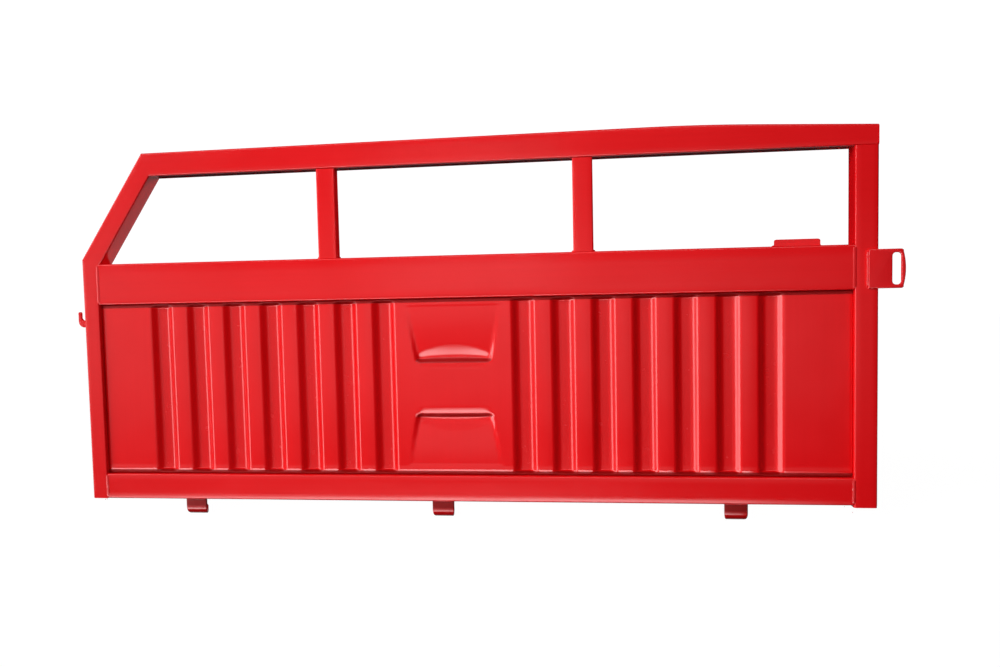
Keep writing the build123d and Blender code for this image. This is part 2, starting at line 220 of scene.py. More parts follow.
def tube(mesh, stations, width, y_low, depth, corner):
    """A tube whose outer and inner edges pass through the stations; its walls are very slightly uneven."""
    section = rounded_section(width, depth, corner)
    rings = []
    for (outer_a, inner_a), (outer_b, inner_b) in zip(stations, stations[1:]):
        count = max(1, round((Vector(outer_b) - Vector(outer_a)).length / ring_step))
        first = 0 if not rings else 1
        for i in range(first, count + 1):
            outer = Vector(outer_a).lerp(Vector(outer_b), i / count)
            inner = Vector(inner_a).lerp(Vector(inner_b), i / count)
            ring = []
            for across, through in section:
                x, z = outer.lerp(inner, across)
                middle = max(0.0, 1 - abs(2 * across - 1) ** 3)
                push = wall_sway * middle * noise.noise(Vector((x * 9, through * 200, z * 9)))
                ring.append((x, y_low + through + push, z))
            rings.append(ring)
    skin(mesh, rings)


frame_paint = enamel("frame_paint", (FRAME_RED_THIN, FRAME_RED, FRAME_RED_DEEP), (2.2, 160, 160))
low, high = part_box("bottom_rail")
front, back = low.y, high.y
tube_corner = 3 * MM

rail = bmesh.new()
tube(rail, [((low.x, low.z), (low.x, high.z)), ((high.x, low.z), (high.x, high.z))],
     high.z - low.z, front, back - front, tube_corner)
piece("bottom_rail_tube", rail, frame_paint, ["bottom_rail"])

# ---------------------------------------------------------------------------------------------
# Middle rail. A deeper tube of the same make, set between the uprights above the sheet; the
# window posts and the stop bracket stand on it.

low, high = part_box("mid_rail")
rail = bmesh.new()
tube(rail, [((low.x, low.z), (low.x, high.z)), ((high.x, low.z), (high.x, high.z))],
     high.z - low.z, front, back - front, tube_corner)
piece("mid_rail_tube", rail, frame_paint, ["mid_rail"])

# ---------------------------------------------------------------------------------------------
# Front upright, sloping post and top rail. Three tubes cut at matching angles and welded end to
# end round the front of the board; the joints are ground flush on the outer face before painting.

upright_low, upright_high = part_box("front_upright")
top_low, top_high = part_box("top_rail")
cap_low, cap_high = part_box("top_rail_end_cap")
rake_width = 37 * MM
rake_lean = math.radians(33.3)
top_rail_width = 46 * MM
knee_from_rear = 305 * MM
knee_reach = 95 * MM


def highest_at(node, x, reach):
    """The height of a CAD node's highest corner within reach of x."""
    corners = [vertex.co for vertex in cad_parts[node].data.vertices]
    return max(corner.z for corner in corners if abs(corner.x - x) < reach)


rake_start = (upright_low.x, highest_at("front_upright", upright_low.x, 0.1 * MM))
rake_skew = rake_width / math.cos(rake_lean)
rake_run = math.tan(rake_lean)
mitre_inner = (upright_high.x, highest_at("front_upright", upright_high.x, 0.1 * MM))
top_front = (top_low.x, highest_at("rake_post", top_low.x, 0.2 * MM))
knee_x = cap_high.x - knee_from_rear
top_knee = (knee_x, top_high.z)
top_rear = (cap_low.x, cap_high.z)
under_knee = (knee_x, cap_low.z)
under_rear = (cap_low.x, cap_low.z)
inner_z = top_low.z
inner_x = rake_start[0] + (inner_z - rake_start[1]) * rake_run + rake_skew
top_inner = (inner_x, inner_z)

upright = bmesh.new()
tube(upright, [((upright_low.x, upright_low.z), (upright_high.x, upright_low.z)),
               (rake_start, mitre_inner)],
     upright_high.x - upright_low.x, front, back - front, tube_corner)
piece("front_upright_tube", upright, frame_paint, ["front_upright"])

rake = bmesh.new()
tube(rake, [(rake_start, mitre_inner), (top_front, top_inner)],
     rake_width, front, back - front, tube_corner)
piece("rake_post_tube", rake, frame_paint, ["rake_post"])


def eased(before, corner, after):
    """Points round the soft bend that the rail is rolled to, in place of a sharp corner."""
    before, corner, after = Vector(before), Vector(corner), Vector(after)
    start = corner + (before - corner).normalized() * knee_reach
    end = corner + (after - corner).normalized() * knee_reach
    shares = [i / 8 for i in range(9)]
    return [tuple(start.lerp(corner, t).lerp(corner.lerp(end, t), t)) for t in shares]


knee = list(zip(eased(top_front, top_knee, top_rear), eased(top_inner, under_knee, under_rear)))
top = bmesh.new()
tube(top, [(top_front, top_inner), *knee, (top_rear, under_rear)],
     top_rail_width, front, back - front, tube_corner)
piece("top_rail_tube", top, frame_paint, ["top_rail"])

# ---------------------------------------------------------------------------------------------
# Rear post. One tube the full height of the board, standing on a welded foot plate, with the top
# rail resting on its upper end.

low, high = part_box("rear_post")
post = bmesh.new()
tube(post, [((low.x, low.z), (high.x, low.z)), ((low.x, high.z), (high.x, high.z))],
     high.x - low.x, front, back - front, tube_corner)
piece("rear_post_tube", post, frame_paint, ["rear_post"])

# ---------------------------------------------------------------------------------------------
# Window posts. Two short flat tubes that split the opening above the middle rail in three. They
# are set back a little from the frame's outer face and welded at the foot.

for node in ("front_window_post", "rear_window_post"):
    low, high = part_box(node)
    post = bmesh.new()
    tube(post, [((low.x, low.z), (high.x, low.z)), ((low.x, high.z - 1 * MM), (high.x, high.z - 1 * MM))],
         high.x - low.x, low.y, high.y - low.y, 3 * MM)
    piece(node + "_tube", post, frame_paint, [node])

# ---------------------------------------------------------------------------------------------
# End plates. Small steel plates that close the open tube ends: under the front upright, under the
# rear post, where it stands proud as a foot, and on the rear end of the top rail.

for node in ("front_foot_cap", "rear_foot_cap", "top_rail_end_cap"):
    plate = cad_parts[node]
    plate.data.materials.clear()
    plate.data.materials.append(frame_paint)

# ---------------------------------------------------------------------------------------------
# Pressed sheet. One sheet of 1.2 mm steel with upright grooves in two groups, two tapering pockets
# between them, and a flange turned back all round, which is stitch welded to the rails behind.

SHEET_RED = (0.77, 0.0040, 0.0062, 1)
SHEET_RED_THIN = (0.82, 0.0062, 0.0095, 1)
SHEET_RED_DEEP = (0.66, 0.0026, 0.0036, 1)
sheet_paint = enamel("panel_paint", (SHEET_RED_THIN, SHEET_RED, SHEET_RED_DEEP), (90, 90, 3.0),
                     peel=0.07, shine=0.13, with_painted_shade=True)

sheet_low, sheet_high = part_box("infill_panel")
sheet_thickness = 1.2 * MM
flat_y = sheet_low.y
flange_depth = sheet_high.y - flat_y
groove_depth = 9 * MM
groove_mouth = 42 * MM
groove_floor = 25 * MM
groove_pitch = 74.5 * MM
middle_gap = 267 * MM
pattern_x = -12.5 * MM
grooves_a_side = 7
mouth_bend = 10 * MM
floor_bend = 13 * MM
land_crown = 0.5 * MM
rim_bend = 3.2 * MM
groove_places = [pattern_x + side * (middle_gap / 2 + step * groove_pitch)
                 for side in (-1, 1) for step in range(grooves_a_side)]


def soft_ramp(distance, width):
    """0 before a bend, distance after it, and a round turn of the given width between."""
    if distance < -width / 2:
        return 0.0
    if distance > width / 2:
        return distance
    return (distance + width / 2) ** 2 / (2 * width)


def soft_step(value):
    """A smooth step from 0 to 1."""
    value = min(1.0, max(0.0, value))
    return value * value * (3 - 2 * value)


def soft_min(first, second, blend):
    """The smaller of two distances, with a round turn where they are close."""
    near = max(blend - abs(first - second), 0.0) / blend
    return min(first, second) - near * near * blend / 4


def groove(x):
    """Depth of the grooves at x: flat lands and floors with sloping walls and round bends."""
    depth = 0.0
    for centre in groove_places:
        away = abs(x - centre)
        if away < groove_mouth / 2 + mouth_bend:
            slope = groove_depth / ((groove_mouth - groove_floor) / 2)
            rise = (soft_ramp(groove_mouth / 2 - away, mouth_bend)
                    - soft_ramp(groove_floor / 2 - away, floor_bend))
            depth += slope * rise
    return depth


def crown(x):
    """How far a land between two neighbouring grooves stands proud of the flat."""
    near, next_near = sorted(abs(x - centre) for centre in groove_places)[:2]
    if near + next_near > groove_pitch * 1.01:
        return 0.0
    half_land = (groove_pitch - groove_mouth - mouth_bend) / 2
    off_middle = (next_near - near) / 2
    return land_crown * max(0.0, 1 - (off_middle / half_land) ** 2)


pocket_depth = 9 * MM
pocket_wide = 178 * MM
pocket_narrow = 144 * MM
side_run = 5.5 * MM
end_run = 13 * MM
corner_round = 10 * MM
foot_bend = 3.5 * MM
lip_bend = 1.8 * MM
slope_share = 0.62
plunge_share = 0.35
plunge_reach = 36 * MM
shoulder_drop = 0.9 * MM
pocket_margin = 20 * MM
pockets = ((sheet_high.z - 122.5 * MM, sheet_high.z - 14.5 * MM),
           (sheet_low.z + 119 * MM, sheet_low.z + 19 * MM))


def pocket(x, z, deep_z, flush_z):
    """Depth of one pocket: a floor that slopes in from its flush end to a round-cornered end wall."""
    up = 1 if flush_z > deep_z else -1
    along = (z - deep_z) * up
    length = abs(flush_z - deep_z)
    if along < -pocket_margin or along > length:
        return 0.0
    share = along / length
    half = (pocket_narrow + (pocket_wide - pocket_narrow) * share) / 2
    off_middle = abs(x - pattern_x)
    side = half - off_middle
    if side < -pocket_margin:
        return 0.0
    cut_side = max(corner_round - side, 0.0)
    cut_end = max(corner_round - along, 0.0)
    inside = min(side, along)
    if cut_side > 0 and cut_end > 0:
        inside = corner_round - math.hypot(cut_side, cut_end)
    end_weight = max(side, 0.0) / (max(side, 0.0) + max(along, 0.0) + 1e-6)
    run = side_run + (end_run - side_run) * soft_step(end_weight)
    wall = pocket_depth * inside / run
    plunge = plunge_reach * (1 - 0.6 * min(1.0, off_middle / half) ** 2)
    gentle = pocket_depth * slope_share * (1 - share) ** 1.25
    floor = gentle + pocket_depth * plunge_share * max(0.0, 1 - along / plunge) ** 1.2
    sunk = soft_min(wall, floor, foot_bend)
    sunk = -soft_min(-sunk, 0.0, lip_bend)
    if along < 0:
        sunk += shoulder_drop * soft_step(1 + along / (12 * MM)) * soft_step(side / (14 * MM))
    return sunk


foot_crest = 0.5 * MM
crest_height = 11 * MM
crest_reach = 3.2 * MM
broad_dents = 0.22 * MM
fine_dents = 0.10 * MM


def sheet_depth(x, z):
    """How far the sheet's outer face lies behind the flat, at a point within its edges."""
    foot = z - sheet_low.z
    head = sheet_high.z - z
    closing = soft_step((foot - 1.5 * MM) / (9 * MM)) * soft_step((head - 1 * MM) / (8 * MM))
    depth = (groove(x) - crown(x)) * closing
    for deep_z, flush_z in pockets:
        depth += pocket(x, z, deep_z, flush_z)
    depth -= foot_crest * math.exp(-((foot - crest_height) / crest_reach) ** 2)
    dents = noise.noise(Vector((x * 7, 3.1, z * 8))) * broad_dents
    dents += noise.noise(Vector((x * 21, 7.7, z * 19))) * fine_dents
    edge = min(x - sheet_low.x, sheet_high.x - x, foot, head)
    return depth + dents * soft_step(edge / (25 * MM))


def spaced(start, end, step):
    """Even places from start to end, about a step apart."""
    count = max(1, round((end - start) / step))
    return [start + (end - start) * i / count for i in range(count)]


def bend_places(start, end, step, centres, reach, fine):
    """Places from start to end, closer together within reach of each centre."""
    marks = {start, end}
    for centre in centres:
        marks.update(m for m in (centre - reach, centre + reach) if start < m < end)
    marks = sorted(marks)
    places = []
    for first, second in zip(marks, marks[1:]):
        middle = (first + second) / 2
        near = any(abs(middle - centre) < reach for centre in centres)
        places += spaced(first, second, fine if near else step)
    return places + [end]


bends = [centre + side * half for centre in groove_places for side in (-1, 1)
         for half in (groove_mouth / 2, groove_floor / 2)]
rim = [rim_bend * (1 - math.cos(math.radians(angle))) for angle in (0, 22, 45, 67, 90)]
inner_columns = bend_places(sheet_low.x + rim_bend, sheet_high.x - rim_bend, 4 * MM, bends,
                            mouth_bend * 0.6, 1.1 * MM)
inner_rows = bend_places(sheet_low.z + rim_bend, sheet_high.z - rim_bend, 2.6 * MM,
                         [sheet_low.z + 9 * MM, sheet_high.z - 6 * MM], 6 * MM, 1.0 * MM)


def with_rims(places, first, last):
    """The places with a round rim added at each end, and the flange's back edge outside it."""
    head = [(first, flange_depth)] + [(first + step, None) for step in rim[:-1]]
    tail = [(last - step, None) for step in rim[-2::-1]] + [(last, flange_depth)]
    return head + [(place, None) for place in places] + tail


def rim_drop(distance):
    """How far the rim has turned back at this distance from the sheet's edge."""
    if distance >= rim_bend:
        return 0.0
    return rim_bend - math.sqrt(max(rim_bend ** 2 - (rim_bend - distance) ** 2, 0.0))


# Painted shade: the colour is darkened on the pockets' steep end walls, a little along the groove floors,
# and in a band along the top and bottom edges, where the rails shade the sheet.
wall_painted_shade, floor_painted_shade, rim_painted_shade = 0.8, 0.20, 0.9
painted_shade_rim = 6.2 * MM
pressed = bmesh.new()
painted_shade = pressed.verts.layers.float.new("painted_shade")
grid = []
for x, side_drop in with_rims(inner_columns, sheet_low.x, sheet_high.x):
    column = []
    for z, end_drop in with_rims(inner_rows, sheet_low.z, sheet_high.z):
        drop = max(side_drop or 0.0, end_drop or 0.0)
        rolled = (rim_drop(x - sheet_low.x) + rim_drop(sheet_high.x - x)
                  + rim_drop(z - sheet_low.z) + rim_drop(sheet_high.z - z))
        y = flat_y + (drop or min(sheet_depth(x, z) + rolled, flange_depth))
        point = pressed.verts.new((x, y, z))
        steep = max(abs(pocket(x, z + 1 * MM, *ends) - pocket(x, z - 1 * MM, *ends)) / (2 * MM)
                    for ends in pockets)
        shade_on_wall = wall_painted_shade * soft_step((steep - 0.20) / 0.30)
        shade_on_floor = floor_painted_shade * groove(x) / groove_depth
        from_rail = min(z - sheet_low.z, sheet_high.z - z)
        shade_on_rim = rim_painted_shade * (1 - soft_step((from_rail - painted_shade_rim) / (2.2 * MM)))
        point[painted_shade] = max(shade_on_wall, shade_on_floor, shade_on_rim)
        column.append(point)
    grid.append(column)
for left, right in zip(grid, grid[1:]):
    for i in range(len(left) - 1):
        pressed.faces.new((left[i], right[i], right[i + 1], left[i + 1]))
panel = piece("pressed_sheet", pressed, sheet_paint, ["infill_panel"], crease=60)
shell = panel.modifiers.new("thickness", "SOLIDIFY")
shell.thickness = sheet_thickness
shell.offset = -1

# ---------------------------------------------------------------------------------------------
# Hinge hooks. Three steel strips welded under the bottom rail and curled back under the rod that
# the board swings on. Each narrows towards its end. Their red is a darker copy of the fittings' red,
# painted shade for the shade under the board, and near the rail it is darkened further as painted
# shadow, where the paint is also duller.

FITTING_RED = (0.72, 0.0085, 0.0115, 1)
FITTING_RED_THIN = (0.80, 0.014, 0.018, 1)
FITTING_RED_DEEP = (0.52, 0.0040, 0.0050, 1)
fitting_paint = enamel("fitting_paint", (FITTING_RED_THIN, FITTING_RED, FITTING_RED_DEEP), (30, 30, 30),
                       peel=0.16, shine=0.16)
# Painted shade: the hooks' red is darker than the fittings' because they hang in shade under the board.
HOOK_SHADED_RED = (0.46, 0.0030, 0.0036, 1)
HOOK_SHADED_RED_THIN = (0.56, 0.0045, 0.0055, 1)
HOOK_SHADED_RED_DEEP = (0.34, 0.0020, 0.0024, 1)
hook_shaded_paint = enamel("hook_shaded_paint", (HOOK_SHADED_RED_THIN, HOOK_SHADED_RED, HOOK_SHADED_RED_DEEP), (30, 30, 30),
                    peel=0.16, shine=0.16, with_painted_shade=True)
hook_strip = 5 * MM
hook_edge = 1.7 * MM
bend_pinch = 1.8 * MM
tongue_taper = 8 * MM
for node in ("hinge_hook_front", "hinge_hook_middle", "hinge_hook_rear"):
    low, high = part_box(node)
    radius = (high.y - low.y) / 2 - hook_strip / 2
    axis_y = (low.y + high.y) / 2
    axis_z = low.z + radius + hook_strip / 2
    path = [(axis_y - radius, z, 0.0) for z in (high.z, high.z - 6 * MM, axis_z + 5 * MM)]
    for i in range(17):
        turn = math.radians(180 * i / 16)
        path.append((axis_y - radius * math.cos(turn), axis_z - radius * math.sin(turn), turn))
    rings = []
    centre_x = (low.x + high.x) / 2
    for i, (y, z, turn) in enumerate(path):
        pinch = bend_pinch * soft_step(turn / math.radians(80))
        pinch += tongue_taper * soft_step((turn - math.radians(40)) / math.radians(140))
        last = i == len(path) - 1
        half = (high.x - low.x) / 2 - pinch - (1.2 * MM if last else 0)
        strip = hook_strip * (0.55 if last else 1)
        ring = []
        for across, through in rounded_section(2 * half, strip, min(hook_edge, strip * 0.45), flats=3):
            out = through - strip / 2
            ring.append((centre_x + (2 * across - 1) * half,
                         y - out * math.cos(turn), z - out * math.sin(turn)))
        rings.append(ring)
    rings[-1] = [(x, y, min(z + 0.9 * MM, axis_z)) for x, y, z in rings[-1]]
    hook = bmesh.new()
    painted_shade = hook.verts.layers.float.new("painted_shade")
    skin(hook, rings)
    # Painted shadow: the flat upper part of each strip is darkened where the rail above shades it.
    for point in hook.verts:
        point[painted_shade] = 0.95 * soft_step((point.co.z - axis_z + 1.5 * MM) / (4 * MM))
    piece(node + "_strip", hook, hook_shaded_paint, [node])

# ---------------------------------------------------------------------------------------------
# Hook plate. A cut steel plate on the front upright's outer side, with an open notch that drops
# over a pin on the front board. Its cut edges are dressed round.


def cut_plate(name, node, outlines, edge):
    """A plate cut to the outlines (the outer one first, then holes) with rounded edges, which stands
    upright in the box of its CAD node and faces out."""
    low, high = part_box(node)
    curve = bpy.data.curves.new(name, "CURVE")
    curve.dimensions = "2D"
    curve.fill_mode = "BOTH"
    curve.extrude = (high.y - low.y) / 2 - edge
    curve.bevel_depth = edge
    curve.bevel_resolution = 3
    curve.offset = -edge
    for outline in outlines:
        spline = curve.splines.new("POLY")
        spline.points.add(len(outline) - 1)
        for point, (x, y) in zip(spline.points, outline):
            point.co = (x, y, 0, 1)
        spline.use_cyclic_u = True
    drawn = bpy.data.objects.new(name + "_outline", curve)
    bpy.context.scene.collection.objects.link(drawn)
    bpy.context.view_layer.update()
    evaluated = drawn.evaluated_get(bpy.context.evaluated_depsgraph_get())
    cut = bpy.data.meshes.new_from_object(evaluated)
    mesh = bmesh.new()
    mesh.from_mesh(cut)
    bpy.data.objects.remove(drawn)
    bmesh.ops.remove_doubles(mesh, verts=mesh.verts, dist=0.01 * MM)
    upright = Matrix(((1, 0, 0, low.x), (0, 0, -1, (low.y + high.y) / 2), (0, 1, 0, low.z), (0, 0, 0, 1)))
    bmesh.ops.transform(mesh, matrix=upright, verts=mesh.verts)
    piece(name, mesh, fitting_paint, [node])


def arc(cx, cy, radius, start, end, count=8):
    """Points along an arc, in degrees."""
    return [(cx + radius * math.cos(math.radians(start + (end - start) * i / count)),
             cy + radius * math.sin(math.radians(start + (end - start) * i / count)))
            for i in range(count + 1)]


low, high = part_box("front_catch")
root, notch, finger = 7 * MM, 12 * MM, 6 * MM
heel = 12 * MM
finger_round = 2.4 * MM
width, height = high.x - low.x, high.z - low.z
notch_x = width - root - notch / 2
notch_floor = height - 17 * MM
outline = ([(width, 0), (width, height), (width - root, height)]
           + arc(notch_x, notch_floor + notch / 2, notch / 2, 0, -180, 12)
           + arc(finger - finger_round, height - finger_round, finger_round, 0, 90, 4)
           + arc(finger_round, height - finger_round, finger_round, 90, 180, 4)
           + arc(heel, heel, heel, 180, 270, 8))
cut_plate("front_catch_plate", "front_catch", [outline], 1.1 * MM)

# ---------------------------------------------------------------------------------------------
# Latch plate. A slotted plate welded flat on the rear post, past its edge, where the tailgate's
# latch pin passes through. The loop outside the slot is bowed and dressed nearly round.

low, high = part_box("latch_plate")
width, height = high.x - low.x, high.z - low.z
bow = 5 * MM
loop = 7.5 * MM
slot_width, slot_height, slot_corner = 15 * MM, 56 * MM, 6 * MM
corner = 5 * MM
bow_radius = ((height / 2) ** 2 + bow ** 2) / (2 * bow)
bow_angle = math.degrees(math.asin((height / 2 - corner) / bow_radius))
free_edge = arc(width - bow_radius, height / 2, bow_radius, -bow_angle, bow_angle, 10)
corner_x = width - bow - corner * 0.6
clip = 0.8 * MM
outline = ([(clip, 0)] + arc(corner_x, corner, corner, 270, 330, 4) + free_edge
           + arc(corner_x, height - corner, corner, 30, 90, 4)
           + [(clip, height), (0, height - clip), (0, clip)])
slot_x, slot_z = width - loop - slot_width, (height - slot_height) / 2
slot_left, slot_right = slot_x + slot_corner, slot_x + slot_width - slot_corner
slot_foot, slot_head = slot_z + slot_corner, slot_z + slot_height - slot_corner
hole = []
for turn_x, turn_z, first in ((slot_left, slot_foot, 180), (slot_right, slot_foot, 270),
                              (slot_right, slot_head, 0), (slot_left, slot_head, 90)):
    hole += arc(turn_x, turn_z, slot_corner, first, first + 90, 5)
cut_plate("latch_plate_slotted", "latch_plate", [outline, hole], 1.6 * MM)

# ---------------------------------------------------------------------------------------------
# Stop bracket. A short piece of angle standing on the middle rail near the rear post, its upright
# leg towards the outside. A cover or a rope can hook over it.

low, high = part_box("stop_bracket")
leaf = 3 * MM
inside = 2 * MM
dressed = 0.9 * MM
end_drop = 2.4 * MM
bracket = bmesh.new()
profile = ([(low.y, low.z), (low.y, high.z - 1 * MM), (low.y + dressed, high.z),
            (low.y + leaf - dressed, high.z), (low.y + leaf, high.z - 1 * MM)]
           + [(low.y + leaf + inside * (1 - math.cos(math.radians(a))),
               low.z + leaf + inside * (1 - math.sin(math.radians(a)))) for a in (0, 30, 60, 90)]
           + [(high.y - dressed, low.z + leaf), (high.y, low.z + leaf - dressed), (high.y, low.z)])
rings = []
for x, shrink in ((low.x, 1.0), (low.x + 1.2 * MM, 0.35), (low.x + 4 * MM, 0.0), (high.x - 4 * MM, 0.0),
                  (high.x - 1.2 * MM, 0.35), (high.x, 1.0)):
    rings.append([(x, y, z - (end_drop * shrink if z > low.z + leaf + inside + 1 * MM else 0))
                  for y, z in profile])
skin(bracket, rings)
piece("stop_bracket_angle", bracket, fitting_paint, ["stop_bracket"], crease=30)

# ---------------------------------------------------------------------------------------------
# Welds. Short hand-laid runs at every joint, left rippled under the paint, with a few beads of
# spatter beside them: on both faces where the rails meet the posts, and round each fitting.

WELD_RED = (0.66, 0.0060, 0.0082, 1)
WELD_RED_THIN = (0.76, 0.014, 0.018, 1)
WELD_RED_DEEP = (0.40, 0.0030, 0.0036, 1)
weld_paint = enamel("weld_paint", (WELD_RED_THIN, WELD_RED, WELD_RED_DEEP), (260, 260, 260),
                    peel=0.30, shine=0.18, coarse=0.08)


weld_pitch = 2.3 * MM


def weld(mesh, start, end, side, out, reach, rise, seed, sweep=180):
    """One run of weld from start to end: overlapping crescents of uneven size with tapered ends.
    It bulges from the side direction through out; sweep is 180 on a face and 90 in a corner."""
    start, end, side, out = Vector(start), Vector(end), Vector(side), Vector(out)
    along = (end - start).normalized()
    length = (end - start).length
    steps = max(6, round(length / (weld_pitch / 6)))
    turns = 10
    rings = []
    for i in range(steps + 1):
        place = length * i / steps
        end_fade = min(1.0, min(place, length - place) / (reach * 0.9))
        swell = math.sqrt(max(end_fade * (2 - end_fade), 0.02))
        drift = noise.noise(Vector((place * 160, seed, 0.3))) * 0.16
        size = swell * (1 + drift)
        centre = start + along * place
        if sweep == 180:
            centre = centre + side * (noise.noise(Vector((place * 110, seed, 5.1))) * 0.10 * reach)
        wander = noise.noise(Vector((place * 210, seed, 9.0))) * weld_pitch * 0.5
        ring = []
        for turn in range(turns + 1):
            angle = math.radians(sweep * turn / turns)
            across = math.sin(math.radians(180 * turn / turns))
            phase = (place + 0.35 * weld_pitch * across + wander) / weld_pitch
            ridge = abs(math.sin(math.pi * phase)) ** 0.7
            bulge = size * (0.86 + 0.20 * ridge * across)
            spread = reach * (size if sweep == 180 else bulge)
            ring.append(centre + side * (spread * math.cos(angle)) + out * (rise * bulge * math.sin(angle)))
        sunk = out * (0.4 * MM) if sweep == 180 else (side + out) * (0.3 * MM)
        ring.append(centre - sunk)
        rings.append(ring)
    skin(mesh, rings)


def spatter(mesh, centre, out, spread, count, seed):
    """A few small drops of weld metal stuck to a face round a point."""
    for i in range(count):
        shift = [noise.noise(Vector((i * 3.7 + seed, k * 5.3, seed))) * spread * 2 for k in range(3)]
        radius = (0.45 + 0.5 * abs(noise.noise(Vector((i * 1.9, seed, 2.2))))) * MM
        place = Vector(centre) + Vector(shift) - Vector(out) * Vector(shift).dot(Vector(out))
        drop = bmesh.ops.create_icosphere(mesh, subdivisions=2, radius=radius)
        bmesh.ops.translate(mesh, verts=drop["verts"], vec=place + Vector(out) * radius * 0.15)


post_low, post_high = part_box("rear_post")
faces = ((front, Vector((0, -1, 0))), (back, Vector((0, 1, 0))))
face_reach, face_rise = 3.0 * MM, 0.65 * MM
for rail_node, name in (("bottom_rail", "bottom_rail_welds"), ("mid_rail", "mid_rail_welds")):
    rail_low, rail_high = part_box(rail_node)
    runs = bmesh.new()
    for joint_x in (rail_low.x, rail_high.x):
        for face_y, outward in faces:
            weld(runs, (joint_x, face_y, rail_low.z + 4 * MM), (joint_x, face_y, rail_high.z - 4 * MM),
                 (1, 0, 0), outward, face_reach, face_rise, seed=joint_x * 9 + face_y * 70)
            spatter(runs, (joint_x, face_y, rail_low.z + 8 * MM), outward, 16 * MM, 6, joint_x * 5 + face_y)
    piece(name + "_runs", runs, weld_paint, [name], crease=80)

runs = bmesh.new()
for (outer, inner), seed in (((rake_start, mitre_inner), 2.0), ((top_front, top_inner), 4.0)):
    first = Vector((outer[0], back, outer[1]))
    last = Vector((inner[0], back, inner[1]))
    along = (last - first).normalized()
    cross = along.cross(Vector((0, 1, 0)))
    weld(runs, first + along * 6 * MM, last - along * 6 * MM, cross, (0, 1, 0),
         face_reach, face_rise, seed=seed)
piece("rake_post_welds_runs", runs, weld_paint, ["rake_post_welds"], crease=80)

runs = bmesh.new()
weld(runs, (post_low.x + 4 * MM, back, post_high.z), (post_high.x - 4 * MM, back, post_high.z),
     (0, 0, 1), (0, 1, 0), face_reach, face_rise, seed=6.0)
piece("top_rail_weld_run", runs, weld_paint, ["top_rail_weld"], crease=80)

runs = bmesh.new()
corner_reach = 3 * MM
for node in ("front_window_post", "rear_window_post"):
    low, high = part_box(node)
    for x, side in ((low.x, -1), (high.x, 1)):
        weld(runs, (x, low.y + 3 * MM, low.z), (x, high.y - 3 * MM, low.z), (side, 0, 0), (0, 0, 1),
             corner_reach, corner_reach, sweep=90, seed=x * 11)
piece("window_post_welds_runs", runs, weld_paint, ["window_post_welds"], crease=80)

runs = bmesh.new()
for node in ("hinge_hook_front", "hinge_hook_middle", "hinge_hook_rear"):
    low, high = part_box(node)
    for y, side in ((low.y, -1), (low.y + hook_strip, 1)):
        weld(runs, (low.x + 1 * MM, y, high.z), (high.x - 1 * MM, y, high.z), (0, side, 0), (0, 0, -1),
             corner_reach, corner_reach, sweep=90, seed=low.x * 7 + side)
piece("hinge_hook_welds_runs", runs, weld_paint, ["hinge_hook_welds"], crease=80)

runs = bmesh.new()
low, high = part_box("latch_plate")
weld(runs, (low.x, high.y, low.z + 2 * MM), (low.x, high.y, high.z - 2 * MM), (-1, 0, 0), (0, -1, 0),
     3.4 * MM, 4.2 * MM, sweep=90, seed=8.4)
piece("latch_plate_weld_run", runs, weld_paint, ["latch_plate_weld"], crease=80)

runs = bmesh.new()
low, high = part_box("front_catch")
for y, side in ((low.y, -1), (high.y, 1)):
    weld(runs, (high.x, y, low.z + 2 * MM), (high.x, y, high.z - 3 * MM), (0, side, 0), (-1, 0, 0),
         corner_reach, corner_reach, sweep=90, seed=3.3 + side)
piece("front_catch_welds_runs", runs, weld_paint, ["front_catch_welds"], crease=80)

runs = bmesh.new()
low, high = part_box("stop_bracket")
for x, side in ((low.x, -1), (high.x, 1)):
    weld(runs, (x, low.y + 2 * MM, low.z), (x, high.y - 6 * MM, low.z), (side, 0, 0), (0, 0, 1),
         corner_reach, corner_reach, sweep=90, seed=5.5 + side)
piece("stop_bracket_welds_runs", runs, weld_paint, ["stop_bracket_welds"], crease=80)

runs = bmesh.new()
stitches, stitch_length = 6, 22 * MM
for i in range(stitches):
    x = sheet_low.x + (sheet_high.x - sheet_low.x) * (i + 0.5) / stitches
    for z, side in ((sheet_low.z, 1), (sheet_high.z, -1)):
        weld(runs, (x - stitch_length / 2, sheet_high.y, z), (x + stitch_length / 2, sheet_high.y, z),
             (0, 1, 0), (0, 0, side), corner_reach, corner_reach, sweep=90, seed=i * 2.0 + side)
piece("panel_stitch_welds_runs", runs, weld_paint, ["panel_stitch_welds"], crease=80)

# ---------------------------------------------------------------------------------------------
# Floor and light. A plain pale floor. One broad sun from the front left, one from behind and a soft
# square light in front give the shade, and a studio that lies round the board gives the reflections.

scene = bpy.context.scene
scene.view_settings.view_transform = "Standard"
scene.view_settings.look = "None"
floor_mesh = bmesh.new()
bmesh.ops.create_grid(floor_mesh, x_segments=1, y_segments=1, size=9)
floor_data = bpy.data.meshes.new("floor")
floor_mesh.to_mesh(floor_data)
floor_mesh.free()
floor = bpy.data.objects.new("floor", floor_data)
scene.collection.objects.link(floor)
floor.location.z = cad_box[0].z - 0.5 * MM
floor_finish = bpy.data.materials.new("pale_floor")
floor_finish.use_nodes = True
pale = floor_finish.node_tree.nodes["Principled BSDF"]
pale.inputs["Base Color"].default_value = (0.05, 0.05, 0.05, 1)
pale.inputs["Roughness"].default_value = 0.9
pale.inputs["Specular IOR Level"].default_value = 0.0
pale.inputs["Emission Color"].default_value = (1, 1, 1, 1)
pale.inputs["Emission Strength"].default_value = 0.985
floor_data.materials.append(floor_finish)
floor.visible_glossy = False
floor.visible_diffuse = False


def lamp(name, kind, energy, ray):
    """A lamp that shines along the ray and leaves no highlight of its own."""
    data = bpy.data.lights.new(name, kind)
    data.energy = energy
    made = bpy.data.objects.new(name, data)
    scene.collection.objects.link(made)
    made.rotation_euler = Vector(ray).to_track_quat("-Z", "Y").to_euler()
    made.visible_glossy = False
    return made


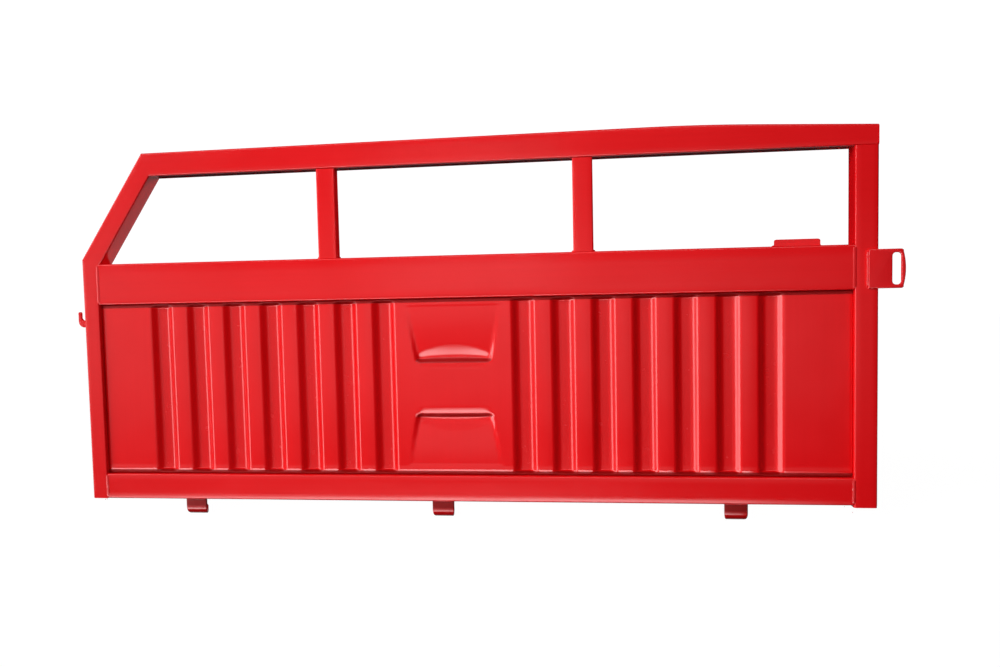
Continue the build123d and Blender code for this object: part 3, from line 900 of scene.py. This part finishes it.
from_left = math.radians(52)
daylight = lamp("daylight", "SUN", 3.4, (math.sin(from_left), math.cos(from_left), -0.30))
daylight.data.angle = math.radians(46)
rear_daylight = lamp("rear_daylight", "SUN", 2.2, (-0.70, -0.75, -0.25))
rear_daylight.data.angle = math.radians(30)
front_place, front_aim = Vector((-0.35, -2.3, 0.75)), Vector((-0.22, 0, 0.33))
front_lamp = lamp("front", "AREA", 3.7, front_aim - front_place)
front_lamp.location = front_place
front_lamp.data.size = 0.9
front_lamp.data.spread = math.radians(66)
front_lamp.visible_camera = False

world = bpy.data.worlds.new("studio")
scene.world = world
world.use_nodes = True
sky = world.node_tree.nodes["Background"]
start = Wire(world.node_tree, sky.inputs["Color"])
toward = start.node("ShaderNodeTexCoord", {}, {}, output=0)
across, out, up = (toward.node("ShaderNodeSeparateXYZ", {}, {0: toward}, output=i) for i in range(3))
for_camera = start.node("ShaderNodeLightPath", {}, {}, output=0)
for_gloss = start.node("ShaderNodeLightPath", {}, {}, output=3)

# What the paint mirrors in each direction: a dim room and its ground ahead of the outer face, a
# glow behind the board, a long strip high up, a bright one low down and a narrow one far left.
ahead = 1 - out.between(-0.25, 0.05)
leftward = 1 - across.between(0.0, 0.52)
room = up.between(-0.26, -0.06) * (1 - 0.72 * up.between(-0.03, 0.14))
ground = (1 - up.between(-0.30, -0.21)) * (1 - across.between(-0.12, 0.12))
room = room * (1 - up.between(0.50, 0.70))
ground = ground * up.between(-0.75, -0.55)
room = (0.50 * room + 0.60 * ground) * leftward * ahead
behind = 0.35 * out.between(0.15, 0.40) * (1 - up.between(-0.36, -0.22))
above = up.between(0.36, 0.42) * (1 - up.between(0.62, 0.68)) * ahead * (1 - across.between(0.2, 0.4))
below = up.between(-0.62, -0.56) * (1 - up.between(-0.38, -0.31)) * ahead * (1 - across.between(0.1, 0.3))
side = across.between(-0.93, -0.88) * (1 - across.between(-0.78, -0.71)) * (1 - up.between(0.4, 0.5)) * ahead
shine = room + behind + 2.4 * above + 4.4 * below + 3.4 * side
level = for_gloss * shine + (1 - for_gloss) * 0.03 + for_camera * 1.05
world.node_tree.links.new(level.socket, sky.inputs["Strength"])
sky.inputs["Color"].default_value = (1, 0.97, 0.985, 1)

# ---------------------------------------------------------------------------------------------
# Camera. Nearly straight on to the outer face from about twice the board's height away, level with
# the middle rail and to the rear of the middle.

camera_data = bpy.data.cameras.new("camera")
camera_data.lens = 28.26
camera_data.sensor_width = 36
camera = bpy.data.objects.new("camera", camera_data)
scene.collection.objects.link(camera)
scene.camera = camera
turn, tip, roll = -6.6887, 3.1631, -1.2250
aimed = Matrix.Rotation(math.radians(-turn), 4, "Z") @ Matrix.Rotation(math.radians(90 - tip), 4, "X")
camera.matrix_world = (Matrix.Translation((0.24818, -1.46956, 0.39924)) @ aimed
                       @ Matrix.Rotation(math.radians(roll), 4, "Z"))
